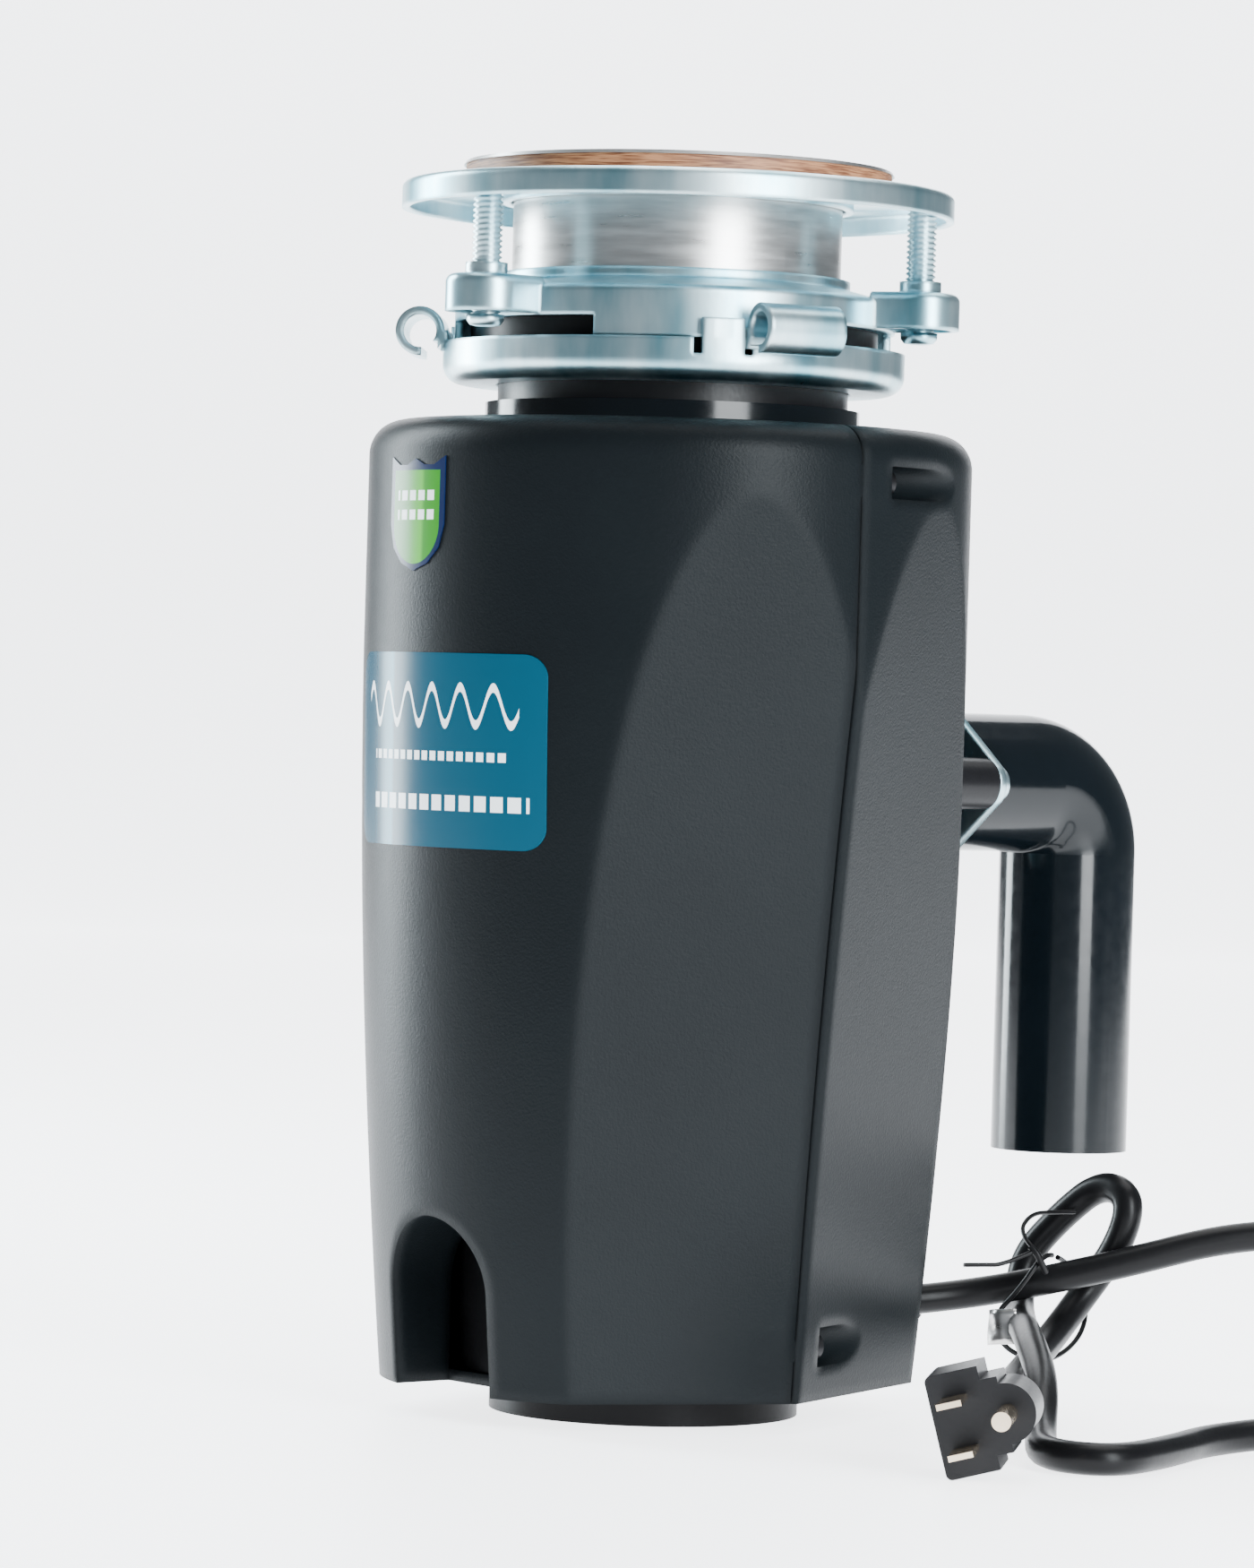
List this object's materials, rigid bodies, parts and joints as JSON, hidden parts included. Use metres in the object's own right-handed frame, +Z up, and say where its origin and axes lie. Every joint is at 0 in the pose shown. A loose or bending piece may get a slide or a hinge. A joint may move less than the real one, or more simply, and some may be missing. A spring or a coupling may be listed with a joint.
{
  "type": "kitchen garbage disposal",
  "caption": "Under-sink continuous-feed garbage disposal with a faceted drum housing, bolted sink mount, side discharge elbow and a plug-in cord.",
  "frame": {"origin": "on the motor axis at the underside of the foot", "axes": "+Z up along the motor axis, -Y to the labels and arch, +Y to the discharge"},
  "size_m": [0.2734, 0.2881, 0.33],
  "materials": {
    "shell_plastic": "fine textured matte",
    "gloss_black": "gloss",
    "black_plastic": "satin",
    "zinc": "bright zinc plate",
    "stainless": "satin",
    "black_paint": "satin black paint",
    "steel": "machined",
    "aluminium": "cast",
    "fibre": "matte",
    "rubber": "matte",
    "copper": "enamelled copper",
    "brass": "bright",
    "magnet": "matte ceramic",
    "carbon": "matte",
    "red_plastic": "gloss",
    "label_blue": "gloss print",
    "label_green": "gloss print"
  },
  "bodies": {
    "housing": {"backup_flange": "zinc", "badge_label": "label_green", "brush_holder_a": "black_plastic", "brush_holder_b": "black_plastic", "cord_tie": "steel", "discharge_elbow": "gloss_black", "elbow_flange": "zinc", "elbow_gasket": "rubber", "elbow_screw_a": "zinc", "elbow_screw_b": "zinc", "fibre_gasket": "fibre", "front_label": "label_blue", "front_shell": "shell_plastic", "grind_ring": "stainless", "hopper": "black_plastic", "inlet_plug": "black_plastic", "lower_bearing": "steel", "lower_end_bell": "black_paint", "magnet_a": "magnet", "magnet_b": "magnet", "motor_bolt_a": "steel", "motor_bolt_b": "steel", "motor_can": "black_paint", "mount_gasket": "rubber", "neck_band": "gloss_black", "overload_protector": "black_plastic", "plug_blades": "brass", "plug_body": "black_plastic", "plug_ground_pin": "brass", "power_cord": "rubber", "rear_shell": "shell_plastic", "rectifier": "black_plastic", "rubber_gasket": "fibre", "shaft_seal": "rubber", "shell_screw_1": "steel", "shell_screw_2": "steel", "shell_screw_3": "steel", "shell_screw_4": "steel", "sink_flange": "stainless", "snap_ring": "steel", "strain_relief": "rubber", "upper_bearing": "steel", "upper_end_bell": "aluminium", "upper_mounting_ring": "zinc"},
    "rotor": {"motor_shaft": "steel", "armature_core": "steel", "armature_windings": "copper", "commutator": "copper", "turntable": "stainless", "turntable_nut": "steel"},
    "impeller_a_body": {"impeller_a": "stainless"},
    "impeller_b_body": {"impeller_b": "stainless"},
    "reset": {"reset_button": "red_plastic"},
    "lock_ring": {"lower_mounting_ring": "zinc"},
    "baffle": {"splash_baffle": "rubber"},
    "screw_1": {"mounting_screw_1": "zinc"},
    "screw_2": {"mounting_screw_2": "zinc"},
    "screw_3": {"mounting_screw_3": "zinc"},
    "brush_a_body": {"brush_a": "carbon"},
    "brush_b_body": {"brush_b": "carbon"}
  },
  "joints": [
    {"name": "rotor_spin", "type": "hinge", "parent": "housing", "child": "rotor", "pos_m": [0, 0, 0], "axis": [0, 0, 1], "continuous": true},
    {"name": "impeller_a_swing", "type": "hinge", "parent": "rotor", "child": "impeller_a_body", "pos_m": [0.038, 0, 0.195], "axis": [0, 0, 1], "continuous": true},
    {"name": "impeller_b_swing", "type": "hinge", "parent": "rotor", "child": "impeller_b_body", "pos_m": [-0.038, 0, 0.195], "axis": [0, 0, 1], "continuous": true},
    {"name": "reset_press", "type": "slide", "parent": "housing", "child": "reset", "axis": [0, 0, 1], "range_m": [0, 0.0025], "stiffness_N_per_m": 600},
    {"name": "lock_ring_turn", "type": "hinge", "parent": "housing", "child": "lock_ring", "pos_m": [0, 0, 0.276], "axis": [0, 0, 1], "range_deg": [-40, 0]},
    {"name": "baffle_lift", "type": "slide", "parent": "housing", "child": "baffle", "axis": [0, 0, 1], "range_m": [0, 0.06]},
    {"name": "screw_1_travel", "type": "slide", "parent": "housing", "child": "screw_1", "axis": [0, 0, -1], "range_m": [0, 0.02]},
    {"name": "screw_2_travel", "type": "slide", "parent": "housing", "child": "screw_2", "axis": [0, 0, -1], "range_m": [0, 0.02]},
    {"name": "screw_3_travel", "type": "slide", "parent": "housing", "child": "screw_3", "axis": [0, 0, -1], "range_m": [0, 0.02]},
    {"name": "brush_a_feed", "type": "slide", "parent": "housing", "child": "brush_a_body", "axis": [1, 0, 0], "range_m": [0, 0.002], "stiffness_N_per_m": 250},
    {"name": "brush_b_feed", "type": "slide", "parent": "housing", "child": "brush_b_body", "axis": [-1, 0, 0], "range_m": [0, 0.002], "stiffness_N_per_m": 250}
  ]
}
